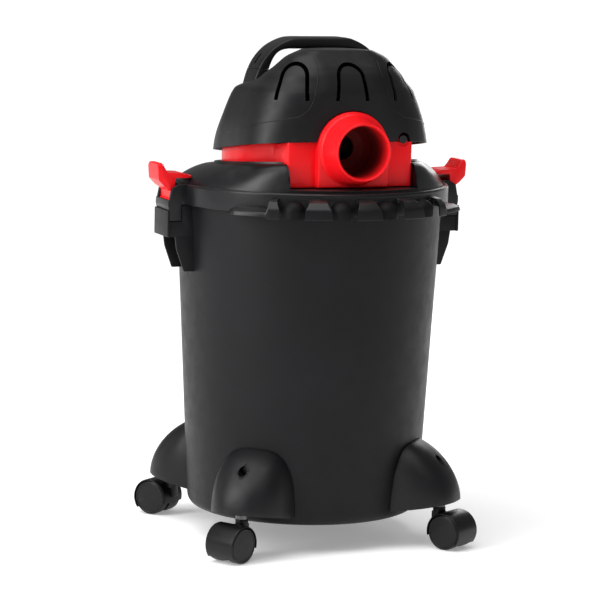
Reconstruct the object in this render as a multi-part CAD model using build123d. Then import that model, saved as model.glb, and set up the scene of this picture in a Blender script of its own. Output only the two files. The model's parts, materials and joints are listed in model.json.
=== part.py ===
from build123d import *
import math
import os

# Wet/dry shop vacuum.  Millimetres, +Z up.  The origin is on the floor, on the drum's axis.
# The round blower port faces -Y, the latches are at +X and -X, the hose inlet faces +Y.

# ---- drum ----
DRUM_BASE_Z = 36.0
DRUM_RIM_Z = 440.0
DRUM_RIM_R = 170.0
DRUM_BASE_R = 149.2
DRUM_WALL = 3.0
DRUM_EDGE_R = 15.0

# ---- feet and casters ----
FOOT_ANGLES = {"front_right": -45.0, "back_right": 45.0, "back_left": 135.0, "front_left": -135.0}
FOOT_BASE_Z = 55.5
FOOT_TOP_Z = 134.0
FOOT_CENTRE_R = 164.0
FOOT_HALF_WIDTH = 53.0
FOOT_WALL = 3.0
FOOT_SCREW_Z = 110.0
STEM_R_FROM_AXIS = 190.0
STEM_RADIUS = 4.0
STEM_TOP_Z = 84.0
TRAIL_ANGLES = {"front_right": -58.7, "back_right": 52.0, "back_left": 128.0, "front_left": -149.0}
TRAIL = 20.0
NECK_TOP_Z = 50.5
HOOD_TRAILING_Z = 6.6
HOOD_LEADING_Z = 16.0
WHEEL_RADIUS = 22.5
WHEEL_INNER_Y = 6.5
WHEEL_OUTER_Y = 21.0
AXLE_RADIUS = 3.0
RUNNING_GAP = 0.06

# ---- lid ----
SKIRT_OUT_R = 177.5
SKIRT_IN_R = 174.5
SKIRT_BOTTOM_Z = 430.0
SKIRT_TOP_Z = 455.0
DOME_BASE_R = 171.0
DOME_BASE_Z = 457.0
PLATEAU_R = 130.0
PLATEAU_Y = -20.0
PLATEAU_Z = 483.0
LID_WALL = 3.0
GASKET_TOP_Z = 443.0

# ---- motor head ----
HEAD_Y = -14.0
COLLAR_R = 118.0
BOX_HALF_X = 83.0
BOX_FRONT_Y = -133.0
BOX_BOTTOM_Z = 461.0
HEM_FRONT_Z = 517.0
HEM_FRONT_Y = -138.0
HEM_SLOPE = 0.13
PORT_Z = 507.0
PORT_PAD_R = 47.0
PORT_PAD_Y = -144.0
PORT_MOUTH_Y = -176.0
PORT_BORE_R = 32.0
COVER_WALL = 3.0
SCREW_X = 70.0
SCREW_Z = 519.0
SCREW_SEAT_Y = -131.5
# Cover levels: height, half width, front, back, front corner radius, where the round back starts.
COVER_LEVELS = [
    (480, 128, -140, 118, 70, -5),
    (511, 125, -139, 110, 70, -5),
    (540, 120, -138, 84, 73, -12),
    (571, 110, -136, 58, 76, -15),
    (580, 105, -134.5, 45, 75, -32),
    (588, 96, -132, 5, 68, -62),
    (597, 88, -128, -11, 59, -68),
    (604, 80, -123, -22, 49, -72),
    (610, 74, -118, -27, 42, -75),
    (619, 64, -108, -37, 29, -78),
    (627, 46, -99, -40, 16, -82),
]
VENT_ANGLES = (-35.0, 0.0, 35.0)
VENT_BOTTOM_Z = 567.0
VENT_HALF_WIDTH = 19.0
VENT_ARCH_Z = 594.5
VENT_SLIT = 5.0

# ---- handle ----
HANDLE_Y = -10.0
HANDLE_WIDTH = 42.0
HANDLE_SPLIT_Z = 600.0
HANDLE_TOP_Z = 640.0

# ---- latches ----
LATCH_PIN_X = 191.75
LATCH_PIN_Z = 434.0
LATCH_PIN_R = 2.5
LATCH_HALF_WIDTH = 19.5
LUG_HALF_WIDTH = 25.0
LUG_OUTER_X = 197.5
LUG_STEP_X = 181.0
LUG_BROW_Z = 436.5

# ---- tool holder ----
HOLDER_HALF_ANGLE = 54.5
SOCKET_ANGLES = (-27.75, -9.25, 9.25, 27.75)
SOCKET_R = 20.0
SOCKET_CENTRE_R = 187.0

# ---- hose inlet ----
INLET_Z = 352.0
INLET_OUTER_R = 36.0
INLET_BORE_R = 32.0
INLET_END_Y = 201.0

# ---- motor, on the head's own axis ----
SHAFT_R = 4.0
BEARING_R = 11.0

# ---- switch and cord gland ----
SWITCH_Y = 100.0
SWITCH_Z = 529.0
SWITCH_TILT = 8.0
GLAND_ANGLE = 32.0
GLAND_Z = 512.0

MAKE_PARTS_IN = "parts"


def turned(points, y=0.0):
    """A solid turned from (radius, height) corners about the vertical axis at the given y."""
    face = make_face(Polyline(*[(r, z) for r, z in points], close=True))
    return Pos(0, y, 0) * revolve(Plane.XZ * face, Axis.Z)


def ring(r_out, r_in, z0, z1, x=0.0, y=0.0):
    """A plain upright ring, or a disc when the inner radius is zero."""
    body = Cylinder(r_out, z1 - z0)
    if r_in > 0:
        body -= Cylinder(r_in, z1 - z0)
    return Pos(x, y, (z0 + z1) / 2) * body


def block(x0, x1, y0, y1, z0, z1):
    """A box given by its six faces."""
    centre = Pos((x0 + x1) / 2, (y0 + y1) / 2, (z0 + z1) / 2)
    return centre * Box(abs(x1 - x0), abs(y1 - y0), abs(z1 - z0))


def rod(radius, start, end):
    """A round bar between two points."""
    a = Vector(*start)
    b = Vector(*end)
    return Plane(origin=a, z_dir=b - a) * Cylinder(
        radius, (b - a).length, align=(Align.CENTER, Align.CENTER, Align.MIN))


def drum_radius(z):
    """Outer radius of the drum's tapered wall at a height."""
    share = (z - DRUM_BASE_Z) / (DRUM_RIM_Z - DRUM_BASE_Z)
    return DRUM_BASE_R + (DRUM_RIM_R - DRUM_BASE_R) * share


def drum_cone(offset, z0=DRUM_BASE_Z, z1=DRUM_RIM_Z, edge_r=0.0):
    """The drum's tapered outline, moved outwards by an offset."""
    height = z1 - z0
    cone = Cone(drum_radius(z0) + offset, drum_radius(z1) + offset, height)
    if edge_r > 0:
        cone = fillet(cone.edges().sort_by(Axis.Z)[0], edge_r)
    return Pos(0, 0, (z0 + z1) / 2) * cone


def prism_xz(points, y0, y1):
    """An outline of (x, z) corners pushed along Y from y0 to y1."""
    face = make_face(Polyline(*points, close=True))
    solid = extrude(Plane.XZ * face, amount=-(y1 - y0))
    return Pos(0, y0, 0) * solid


def mirrored(solid, side):
    """The solid on the +X side, or its mirror image on the -X side."""
    return solid if side > 0 else mirror(solid, about=Plane.YZ)


# ---------------------------------------------------------------- drum
def drum_lug():
    """Hollow catch box on the drum's +X side, with two gusset legs running down the wall."""
    hw = LUG_HALF_WIDTH
    side = [(160, 429.5), (LUG_STEP_X, 429.5), (LUG_STEP_X, 409.5), (LUG_OUTER_X, 409.5),
            (LUG_OUTER_X, 390), (188, 389), (177, 346), (155, 346)]
    lug = prism_xz(side, -hw, -hw + 4) + prism_xz(side, hw - 4, hw)
    lug += block(LUG_OUTER_X - 3, LUG_OUTER_X, -hw, hw, 390, 409.5)
    lug += block(160, LUG_OUTER_X, -hw, hw, 390, 393)
    return lug


def make_drum():
    wall = DRUM_WALL
    inside = drum_cone(-wall, DRUM_BASE_Z + wall, DRUM_RIM_Z + 1, DRUM_EDGE_R - wall)
    body = drum_cone(0, edge_r=DRUM_EDGE_R)
    for side in (1, -1):
        body += mirrored(drum_lug(), side)
    for angle in FOOT_ANGLES.values():
        boss = rod(7, (drum_radius(FOOT_SCREW_Z) - 4, 0, FOOT_SCREW_Z), (172, 0, FOOT_SCREW_Z))
        body += Rot(0, 0, angle) * boss
    body -= inside
    for angle in FOOT_ANGLES.values():
        body -= Rot(0, 0, angle) * rod(2.05, (158, 0, FOOT_SCREW_Z), (173, 0, FOOT_SCREW_Z))
    body -= rod(INLET_OUTER_R, (0, 120, INLET_Z), (0, 230, INLET_Z))
    return body


def make_inlet():
    """Hose inlet: a tube through the drum's wall with a saddle flange outside it."""
    z0 = INLET_Z - 52
    z1 = INLET_Z + 52
    saddle = drum_cone(4.0, z0, z1) - drum_cone(0.0, z0 - 1, z1 + 1)
    saddle &= rod(48, (0, 100, INLET_Z), (0, INLET_END_Y, INLET_Z))
    tube = rod(INLET_OUTER_R, (0, 150, INLET_Z), (0, INLET_END_Y, INLET_Z))
    lip = rod(INLET_OUTER_R + 3, (0, INLET_END_Y - 7, INLET_Z), (0, INLET_END_Y, INLET_Z))
    return saddle + tube + lip - rod(INLET_BORE_R, (0, 140, INLET_Z), (0, 210, INLET_Z))


# ---------------------------------------------------------------- feet and casters
def foot_dome(half_width, height):
    """Upright half egg: a quarter ellipse turned about the foot's own axis."""
    corner = (half_width, 0)
    middle = (half_width * math.sqrt(0.5), height * math.sqrt(0.5))
    top = (0, height)
    curve = Spline(corner, middle, top, tangents=[(0, 1), (-1, 0)])
    outline = make_face([curve, Line(top, (0, 0)), Line((0, 0), corner)])
    return Pos(FOOT_CENTRE_R, 0, FOOT_BASE_Z) * revolve(Plane.XZ * outline, Axis.Z)


def make_foot(angle):
    """A bulging foot that hugs the drum, made at angle 0 and turned into place."""
    wall = FOOT_WALL
    height = FOOT_TOP_Z - FOOT_BASE_Z
    outer = foot_dome(FOOT_HALF_WIDTH, height)
    inner = foot_dome(FOOT_HALF_WIDTH - wall, height - wall)
    cavity = inner - ring(9, 0, 0, 200, x=STEM_R_FROM_AXIS)
    cavity -= block(140, 230, -1.5, 1.5, 60, 98)
    cavity -= rod(10, (172, 0, FOOT_SCREW_Z), (230, 0, FOOT_SCREW_Z))
    foot = outer - cavity
    foot -= drum_cone(0.4, 30, 150)
    foot -= rod(7.2, (150, 0, FOOT_SCREW_Z), (172, 0, FOOT_SCREW_Z))
    foot -= rod(2.4, (160, 0, FOOT_SCREW_Z), (180, 0, FOOT_SCREW_Z))
    foot -= rod(6, (176, 0, FOOT_SCREW_Z), (230, 0, FOOT_SCREW_Z))
    foot -= ring(STEM_RADIUS, 0, FOOT_BASE_Z - 1, STEM_TOP_Z, x=STEM_R_FROM_AXIS)
    return Rot(0, 0, angle) * foot


def foot_screw(angle):
    shank = rod(2.0, (159, 0, FOOT_SCREW_Z), (177, 0, FOOT_SCREW_Z))
    head = rod(4.6, (176, 0, FOOT_SCREW_Z), (179, 0, FOOT_SCREW_Z))
    return Rot(0, 0, angle) * (shank + head)


def stem_place(name):
    """Where a caster stands: its stem on the origin turns the caster towards its trail."""
    angle = math.radians(FOOT_ANGLES[name])
    x = STEM_R_FROM_AXIS * math.cos(angle)
    y = STEM_R_FROM_AXIS * math.sin(angle)
    return Pos(x, y, 0) * Rot(0, 0, TRAIL_ANGLES[name])


def caster_stem():
    collar = ring(7.5, 0, NECK_TOP_Z + 0.5, FOOT_BASE_Z)
    return ring(STEM_RADIUS, 0, 30, STEM_TOP_Z) + collar


def caster_hood():
    """Fork between the wheels, with a band over their treads.  They trail along local +X."""
    web_half = WHEEL_INNER_Y - 0.6
    outer_r = WHEEL_RADIUS + 2.2
    inner_r = WHEEL_RADIUS + 0.6
    axle = (TRAIL, WHEEL_RADIUS)

    def disc(radius, y0, y1):
        return rod(radius, (axle[0], y0, axle[1]), (axle[0], y1, axle[1]))

    hood = disc(outer_r, -21.5, 21.5) - disc(inner_r, -23, 23)
    hood -= block(TRAIL, 80, -30, 30, -10, HOOD_TRAILING_Z)
    hood -= block(-60, TRAIL, -30, 30, -10, HOOD_LEADING_Z)
    web = disc(outer_r, -web_half, web_half) - block(-40, 80, -30, 30, -10, 5)
    nose = block(-8, 12, -web_half, web_half, 24, 46)
    neck = ring(8, 0, 38, NECK_TOP_Z) - disc(inner_r, -23, 23)
    bore = ring(STEM_RADIUS + RUNNING_GAP, 0, 29, 60)
    return hood + web + nose + neck - bore - disc(AXLE_RADIUS + RUNNING_GAP, -30, 30)


def caster_wheel(side):
    """One wheel of the pair: a shallow dish in its outer face, a blind bore for the axle."""
    width = WHEEL_OUTER_Y - WHEEL_INNER_Y
    wheel = fillet(Cylinder(WHEEL_RADIUS, width).edges().sort_by(Axis.Z)[-1], 3.0)
    wheel -= Pos(0, 0, width / 2) * Cylinder(17, 1.2)
    wheel -= Pos(0, 0, -3) * Cylinder(AXLE_RADIUS, width)
    centre = (WHEEL_OUTER_Y + WHEEL_INNER_Y) / 2
    return Pos(TRAIL, side * centre, WHEEL_RADIUS) * Rot(-90 * side, 0, 0) * wheel


def caster_axle():
    half = WHEEL_OUTER_Y - 3.0
    return rod(AXLE_RADIUS, (TRAIL, -half, WHEEL_RADIUS), (TRAIL, half, WHEEL_RADIUS))


# ---------------------------------------------------------------- lid
def lid_dome(inset):
    """Solid between the skirt's circle and the plateau's circle, which sits nearer the port."""
    low = Pos(0, 0, DOME_BASE_Z - inset) * Circle(DOME_BASE_R - inset)
    high = Pos(0, PLATEAU_Y, PLATEAU_Z - inset) * Circle(PLATEAU_R - inset)
    return loft([low, high], ruled=True)


def lid_lug():
    """Upper half of the +X latch housing: two cheeks for the pin and a stepped outer wall."""
    hw = LUG_HALF_WIDTH
    cheek = [(172, 430), (LUG_STEP_X + 0.5, 430), (LUG_STEP_X + 0.5, 410), (LUG_OUTER_X, 410),
             (LUG_OUTER_X, 440), (194, 452), (172, 456)]
    lug = prism_xz(cheek, -hw, -hw + 4.5) + prism_xz(cheek, hw - 4.5, hw)
    lug += block(LUG_OUTER_X - 3, LUG_OUTER_X, -hw, hw, 410, 426)
    lug += block(LUG_OUTER_X - 0.6, LUG_OUTER_X + 1.4, -hw, hw, 424, LUG_BROW_Z)
    lug -= rod(LATCH_PIN_R, (LATCH_PIN_X, -hw - 1, LATCH_PIN_Z), (LATCH_PIN_X, hw + 1, LATCH_PIN_Z))
    lug -= ring(SKIRT_IN_R, 0, 400, 470)
    return lug


def make_lid():
    skirt = ring(SKIRT_OUT_R, SKIRT_IN_R, SKIRT_BOTTOM_Z, SKIRT_TOP_Z)
    seat = ring(SKIRT_OUT_R, 164.5, GASKET_TOP_Z, SKIRT_TOP_Z)
    deck = ring(DOME_BASE_R, 150, SKIRT_TOP_Z - LID_WALL, DOME_BASE_Z)
    pocket = block(-87, 87, -175, -95, 457, 490) & lid_dome(0)
    lid = skirt + seat + deck + lid_dome(0) - lid_dome(LID_WALL) - ring(150, 0, 440, 458)
    lid += pocket
    lid -= block(-84, 84, -200, -98, 460, 500)
    lid -= ring(100, 0, 440, 500, y=HEAD_Y)
    for side in (1, -1):
        lid += mirrored(lid_lug(), side)
    return lid


def make_gasket():
    return ring(DRUM_RIM_R + 1, DRUM_RIM_R - 5, DRUM_RIM_Z, GASKET_TOP_Z)


def make_tool_holder():
    """Clip-on flange with four C-shaped sockets, round the port side of the lid's skirt."""
    flange = turned([(177.5, 450), (181, 450), (201, 429), (201, 426), (197.5, 426), (177.5, 446)])
    for angle in SOCKET_ANGLES:
        flange -= Rot(0, 0, angle) * ring(SOCKET_R, 0, 400, 470, y=-SOCKET_CENTRE_R)
    flange += ring(180, SKIRT_OUT_R, SKIRT_BOTTOM_Z, 450)
    reach = 400
    edge = math.radians(HOLDER_HALF_ANGLE)
    corner = (reach * math.sin(edge), -reach * math.cos(edge))
    far = (reach, -reach)
    wedge = make_face(Polyline((0, 0), corner, far, (-far[0], far[1]), (-corner[0], corner[1]),
                               close=True))
    return flange & Pos(0, 0, 400) * extrude(wedge, amount=80)


# ---------------------------------------------------------------- latches
def make_latch(side):
    """Red over-lid latch: arm, finger tab and tongue in one moulding, on a cross pin."""
    profile = [(166, 463.5), (188.5, 463.5), (189.5, 446), (189.5, 404), (194, 404), (194, 449),
               (200, 451), (207, 461), (211, 482), (204.5, 482), (198, 469), (166, 469)]
    hw = LATCH_HALF_WIDTH
    latch = prism_xz(profile, -hw, hw)
    latch += rod(4.6, (LATCH_PIN_X, -hw, LATCH_PIN_Z), (LATCH_PIN_X, hw, LATCH_PIN_Z))
    for share in (0.2, 0.4, 0.6, 0.8):
        x = 198 + share * 6.5
        z = 469 + share * 13
        latch += rod(0.9, (x, -hw + 3, z), (x, hw - 3, z))
    hole_r = LATCH_PIN_R + RUNNING_GAP
    latch -= rod(hole_r, (LATCH_PIN_X, -30, LATCH_PIN_Z), (LATCH_PIN_X, 30, LATCH_PIN_Z))
    return mirrored(latch, side)


def latch_pin(side):
    hw = LUG_HALF_WIDTH
    pin = rod(LATCH_PIN_R, (LATCH_PIN_X, -hw, LATCH_PIN_Z), (LATCH_PIN_X, hw, LATCH_PIN_Z))
    return mirrored(pin, side)


# ---------------------------------------------------------------- red collar and port
def hem_plane(rise):
    """Everything below the cover's slanted lower edge, raised by the given amount."""
    reach = 300
    front = HEM_FRONT_Z + HEM_SLOPE * (reach + HEM_FRONT_Y) + rise
    back = HEM_FRONT_Z - HEM_SLOPE * (reach - HEM_FRONT_Y) + rise
    side = [(-reach, 300), (-reach, front), (reach, back), (reach, 300)]
    face = make_face(Polyline(*side, close=True))
    return Pos(-reach, 0, 0) * extrude(Plane.YZ * face, amount=2 * reach)


def arch(radius, y0, y1, bottom):
    """Round-topped block about the port's axis, standing on the given height."""
    half_round = rod(radius, (0, y0, PORT_Z), (0, y1, PORT_Z))
    return half_round + block(-radius, radius, y0, y1, bottom, PORT_Z)


def make_collar():
    """Red collar: ring under the cover, box at the front, arched pad and the port's tube."""
    wall = 3.0
    band = ring(COLLAR_R, COLLAR_R - wall, PLATEAU_Z, 540, y=HEAD_Y)
    band += ring(COLLAR_R, 101, PLATEAU_Z, PLATEAU_Z + 3, y=HEAD_Y)
    case = block(-BOX_HALF_X, BOX_HALF_X, BOX_FRONT_Y, -99.5, BOX_BOTTOM_Z, 540)
    hollow = block(-BOX_HALF_X + wall, BOX_HALF_X - wall, BOX_FRONT_Y + wall, -60,
                   BOX_BOTTOM_Z + wall, 560)
    body = (band - block(-BOX_HALF_X, BOX_HALF_X, -200, -99.5, 400, 600) + case) & hem_plane(8)
    body -= hollow
    body -= cover_dome(-8.0) - cover_dome(COVER_WALL + 0.5) - hem_plane(-0.5)
    body += rod(5, (SCREW_X, BOX_FRONT_Y + 1, SCREW_Z), (SCREW_X, -118, SCREW_Z)) & hem_plane(8)
    body += arch(PORT_PAD_R, PORT_PAD_Y, BOX_FRONT_Y + 8, BOX_BOTTOM_Z)
    tube_length = PORT_PAD_Y - PORT_MOUTH_Y
    tube = Cone(44.0, 35.5, tube_length, align=(Align.CENTER, Align.CENTER, Align.MIN))
    body += Plane(origin=(0, PORT_PAD_Y, PORT_Z), z_dir=(0, -1, 0)) * tube
    sleeve = rod(35.5, (0, BOX_FRONT_Y, PORT_Z), (0, -104, PORT_Z))
    body += sleeve
    body -= rod(PORT_BORE_R, (0, -190, PORT_Z), (0, -90, PORT_Z))
    body -= ring(99.5, 0, 440, 600, y=HEAD_Y)
    body -= screw_well()
    body -= rod(2, (SCREW_X, -140, SCREW_Z), (SCREW_X, -117, SCREW_Z))
    return body


def screw_well():
    """Round recess cut across the cover's edge and the box, for the cover's front screw."""
    return rod(9, (SCREW_X, -160, SCREW_Z), (SCREW_X, SCREW_SEAT_Y, SCREW_Z))


# ---------------------------------------------------------------- motor cover
def cover_section(level, inset):
    """D-shaped outline of the cover at one level: rounded front corners, round back."""
    z, half, front, back, corner, centre_y = level
    half -= inset
    front += inset
    back -= inset
    corner = max(corner - inset, 2.0)
    centre_y = max(centre_y, front + corner + 0.5)
    lines = [
        Line((-half + corner, front), (half - corner, front)),
        CenterArc((half - corner, front + corner), corner, -90, 90),
        Line((half, front + corner), (half, centre_y)),
        EllipticalCenterArc((0, centre_y), half, back - centre_y, 0, arc_size=180),
        Line((-half, centre_y), (-half, front + corner)),
        CenterArc((-half + corner, front + corner), corner, 180, 90),
    ]
    return Pos(0, 0, z) * make_face(lines)


def cover_dome(inset):
    levels = [(z - (inset if z > 600 else 0), *rest) for z, *rest in COVER_LEVELS]
    return loft([cover_section(level, inset) for level in levels], ruled=True)


def vent_slit(angle):
    """Inverted-U slit, pushed outwards through the cover at an angle about the head's axis."""
    out = VENT_HALF_WIDTH
    inner = out - VENT_SLIT
    tall = VENT_ARCH_Z - VENT_BOTTOM_Z
    plate = Pos(0, tall) * Circle(out) + Pos(0, tall / 2) * Rectangle(2 * out, tall)
    plate -= Pos(0, tall) * Circle(inner) + Pos(0, tall / 2) * Rectangle(2 * inner, tall)
    plate -= Pos(0, -30) * Rectangle(80, 60)
    slit = extrude(Plane(origin=(0, HEAD_Y - 60, VENT_BOTTOM_Z), x_dir=(1, 0, 0),
                         z_dir=(0, -1, 0)) * plate, amount=110)
    return Pos(0, HEAD_Y, 0) * Rot(0, 0, angle) * Pos(0, -HEAD_Y, 0) * slit


def handle_outline():
    """Outer loop of the handle in the XZ plane, legs included."""
    outer = [(-97, 560), (-91, 584), (-77, 615), (-52, 634), (-38, HANDLE_TOP_Z),
             (38, HANDLE_TOP_Z), (52, 634), (77, 615), (91, 584), (97, 560)]
    inner = [(76, 560), (69, 600), (63, 616), (50, 625), (-50, 625), (-63, 616), (-69, 600),
             (-76, 560)]
    y0 = HANDLE_Y - HANDLE_WIDTH / 2
    return prism_xz(outer + inner, y0, y0 + HANDLE_WIDTH)


def make_cover():
    """Black motor cover: domed shell with the handle's two stubs, vents and cut-outs."""
    shell = cover_dome(0)
    stubs = handle_outline() & block(-120, 120, -60, 40, 540, HANDLE_SPLIT_Z)
    cavity = cover_dome(COVER_WALL)
    cover = shell + stubs - cavity
    cover -= hem_plane(0)
    cover -= arch(PORT_PAD_R + 1.2, -200, -100, 440)
    for angle in VENT_ANGLES:
        cover -= vent_slit(angle) & block(-200, 200, -200, 200, 560, 616)
    cover -= screw_well()
    cover -= switch_case()
    cover -= gland_body()
    return cover


def make_handle():
    loop = handle_outline() & block(-120, 120, -60, 40, HANDLE_SPLIT_Z, 700)
    for side in (1, -1):
        slot = rod(2, (70, HANDLE_Y, 606), (100, HANDLE_Y, 606))
        slot += rod(2, (70, HANDLE_Y, 618), (100, HANDLE_Y, 618))
        slot += block(70, 100, HANDLE_Y - 2, HANDLE_Y + 2, 606, 618)
        slot -= block(60, 80, -60, 60, 590, 640)
        loop -= mirrored(slot, side)
    loop -= cover_dome(0)
    return loop


# ---------------------------------------------------------------- switch and cord gland
def switch_case():
    return block(-18, 18, 78, SWITCH_Y + 8, SWITCH_Z - 14, SWITCH_Z + 14)


def make_switch_bezel():
    bezel = switch_case()
    bezel -= block(-13, 13, 86, SWITCH_Y + 20, SWITCH_Z - 10.5, SWITCH_Z + 10.5)
    bezel -= rod(1.5 + RUNNING_GAP, (-15, SWITCH_Y, SWITCH_Z), (15, SWITCH_Y, SWITCH_Z))
    return bezel


def make_rocker():
    """Two-position rocker on its own trunnions, at rest tilted to the off side."""
    body = block(-12.5, 12.5, -6, 9, -8.5, 8.5)
    body += rod(1.5, (-14.6, 0, 0), (14.6, 0, 0))
    return Pos(0, SWITCH_Y, SWITCH_Z) * Rot(SWITCH_TILT, 0, 0) * body


def gland_body():
    """Solid plug of the cord gland, set through the cover's back wall."""
    angle = math.radians(GLAND_ANGLE)
    out = (math.sin(angle), math.cos(angle))
    start = (118 * out[0], 118 * out[1] - 19, GLAND_Z)
    end = (141 * out[0], 141 * out[1] - 19, GLAND_Z)
    return rod(9, start, end)


def make_gland():
    angle = math.radians(GLAND_ANGLE)
    out = (math.sin(angle), math.cos(angle))
    start = (110 * out[0], 110 * out[1] - 19, GLAND_Z)
    end = (150 * out[0], 150 * out[1] - 19, GLAND_Z)
    return gland_body() - rod(3.8, start, end)


def make_cover_screw():
    """Screw at the bottom of the front recess, into a boss of the collar's box wall."""
    head = rod(5, (SCREW_X, SCREW_SEAT_Y - 2.5, SCREW_Z), (SCREW_X, SCREW_SEAT_Y, SCREW_Z))
    return head + rod(2, (SCREW_X, SCREW_SEAT_Y - 0.5, SCREW_Z), (SCREW_X, -119, SCREW_Z))


# ---------------------------------------------------------------- fan and motor
def at_head(solid):
    return Pos(0, HEAD_Y, 0) * solid


def make_fan_cup():
    """Cup hung in the lid's opening: rim, wall with the outlet window, floor with the eye."""
    cup = turned([(22, 446), (99, 446), (99, 486), (112, 486), (112, 488.5), (96.5, 488.5),
                  (96.5, 448.5), (22, 448.5)])
    cup -= block(-32, 32, -110, -80, 464, 482)
    return at_head(cup) - port_duct()


def make_fan_plate():
    """Plate over the fan that carries the motor and the lower bearing."""
    plate = turned([(12, 482), (96, 482), (96, 485), (16, 485), (16, 494), (BEARING_R, 494),
                    (BEARING_R, 487), (12, 487)])
    return at_head(plate) - port_duct()


def port_duct():
    """Room for the port's sleeve where it reaches back over the fan's cup."""
    return rod(35.9, (0, -140, PORT_Z), (0, -98, PORT_Z))


def make_motor_frame():
    """Motor can on the fan plate, with windows, a top web and the upper bearing's seat."""
    frame = turned([(44.5, 485), (47, 485), (47, 556), (15, 556), (15, 562), (BEARING_R, 562),
                    (BEARING_R, 554), (44.5, 554)])
    for turn in (0, 60, 120):
        frame -= Rot(0, 0, turn) * block(-60, 60, -10, 10, 486, 498)
        frame -= Rot(0, 0, turn + 30) * block(-60, 60, -7, 7, 540, 552)
    return at_head(frame)


def make_stator():
    stator = ring(44.5, 30, 500, 538)
    coils = ring(41, 31, 494, 544) - ring(50, 0, 500, 538)
    for side in (-1, 1):
        stator -= block(-10, 10, side * 44 - 4, side * 44 + 4, 490, 550)
    return at_head(stator + coils)


def make_brushes():
    brushes = [block(side * 12.4, side * 44.3, -3, 3, 545, 551) for side in (1, -1)]
    return at_head(Compound(brushes))


def make_bearing(z0):
    return at_head(ring(BEARING_R, SHAFT_R + RUNNING_GAP, z0, z0 + 7))


def make_shaft():
    shaft = ring(SHAFT_R, 0, 451, 578)
    return at_head(shaft)


def make_armature():
    core = ring(28.5, SHAFT_R, 500, 538)
    for step in range(12):
        core -= Rot(0, 0, step * 30) * block(26, 30, -1.2, 1.2, 490, 545)
    return at_head(core + ring(12, SHAFT_R, 538, 552))


def make_impeller():
    wheel = ring(78, 26, 453, 454.5) + ring(78, SHAFT_R, 470, 472) + ring(12, SHAFT_R, 458, 470)
    for step in range(9):
        blade = block(28, 77, -0.8, 0.8, 454, 471)
        wheel += Rot(0, 0, step * 40) * Pos(28, 0, 0) * Rot(0, 0, -28) * Pos(-28, 0, 0) * blade \
            & ring(78, 0, 450, 475)
    return at_head(wheel)


def make_shaft_nut():
    nut = extrude(RegularPolygon(7, 6), amount=5) - Pos(0, 0, 2.5) * Cylinder(SHAFT_R, 6)
    return at_head(Pos(0, 0, 453) * nut)


def make_cooling_fan():
    fan = ring(12, SHAFT_R, 565, 575)
    for step in range(8):
        blade = Rot(32, 0, 0) * block(9, 36, -7, 7, -0.7, 0.7)
        fan += Rot(0, 0, step * 45) * Pos(0, 0, 569.7) * blade
    return at_head(fan)


# ---------------------------------------------------------------- filter
def make_filter_cage():
    """Slotted cage under the fan cup, with the round hole that the float ball can shut."""
    cage = turned([(20, 443), (62, 443), (62, 446), (20, 446)])
    cage += ring(42, 39, 331, 443) + ring(42, 0, 328, 331)
    for step in range(6):
        cage -= Rot(0, 0, step * 30) * block(-60, 60, -5, 5, 342, 432)
    return at_head(cage)


def make_float():
    return at_head(Pos(0, 0, 355.4) * Sphere(24))


def make_filter():
    """Pleated cartridge: zigzag outline with a round core hole."""
    pleats = 40
    points = []
    for step in range(2 * pleats):
        radius = 82 if step % 2 == 0 else 72
        angle = math.pi * step / pleats
        points.append((radius * math.cos(angle), radius * math.sin(angle)))
    star = make_face(Polyline(*points, close=True)) - Circle(56)
    return at_head(Pos(0, 0, 342) * extrude(star, amount=92))


def make_filter_caps():
    top = ring(84, 42.6, 434, 440)
    bottom = ring(84, 42.6, 336, 342)
    return at_head(Compound([top, bottom]))


def make_filter_retainer():
    plate = ring(52, 0, 322, 328) + ring(14, 0, 312, 322)
    plate += block(-24, 24, -3, 3, 308, 322)
    return at_head(plate)


# ---------------------------------------------------------------- write everything
def all_parts():
    parts = {
        "drum": make_drum(),
        "hose_inlet": make_inlet(),
        "foot_screws": Compound([foot_screw(a) for a in FOOT_ANGLES.values()]),
        "lid": make_lid(),
        "lid_gasket": make_gasket(),
        "tool_holder": make_tool_holder(),
        "port_collar": make_collar(),
        "motor_cover": make_cover(),
        "handle": make_handle(),
        "cover_screw": make_cover_screw(),
        "latch_pins": Compound([latch_pin(side) for side in (1, -1)]),
        "latch_right": make_latch(1),
        "latch_left": make_latch(-1),
        "switch_bezel": make_switch_bezel(),
        "switch_rocker": make_rocker(),
        "cord_gland": make_gland(),
        "fan_cup": make_fan_cup(),
        "fan_plate": make_fan_plate(),
        "motor_frame": make_motor_frame(),
        "motor_stator": make_stator(),
        "motor_brushes": make_brushes(),
        "bearing_lower": make_bearing(487),
        "bearing_upper": make_bearing(554.5),
        "motor_shaft": make_shaft(),
        "armature": make_armature(),
        "impeller": make_impeller(),
        "impeller_nut": make_shaft_nut(),
        "cooling_fan": make_cooling_fan(),
        "filter_cage": make_filter_cage(),
        "float_ball": make_float(),
        "filter_media": make_filter(),
        "filter_caps": make_filter_caps(),
        "filter_retainer": make_filter_retainer(),
    }
    for name, angle in FOOT_ANGLES.items():
        parts["foot_" + name] = make_foot(angle)
        place = stem_place(name)
        parts["caster_stem_" + name] = place * caster_stem()
        parts["caster_hood_" + name] = place * caster_hood()
        parts["caster_axle_" + name] = place * caster_axle()
        for label, side in (("inner", 1), ("outer", -1)):
            parts["wheel_" + label + "_" + name] = place * caster_wheel(side)
    return parts


os.makedirs(MAKE_PARTS_IN, exist_ok=True)
for part_name, solid in all_parts().items():
    export_step(solid, os.path.join(MAKE_PARTS_IN, part_name + ".step"))
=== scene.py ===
import json
import math

import bmesh
import bpy
import numpy as np
from mathutils import Matrix, Vector


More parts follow.
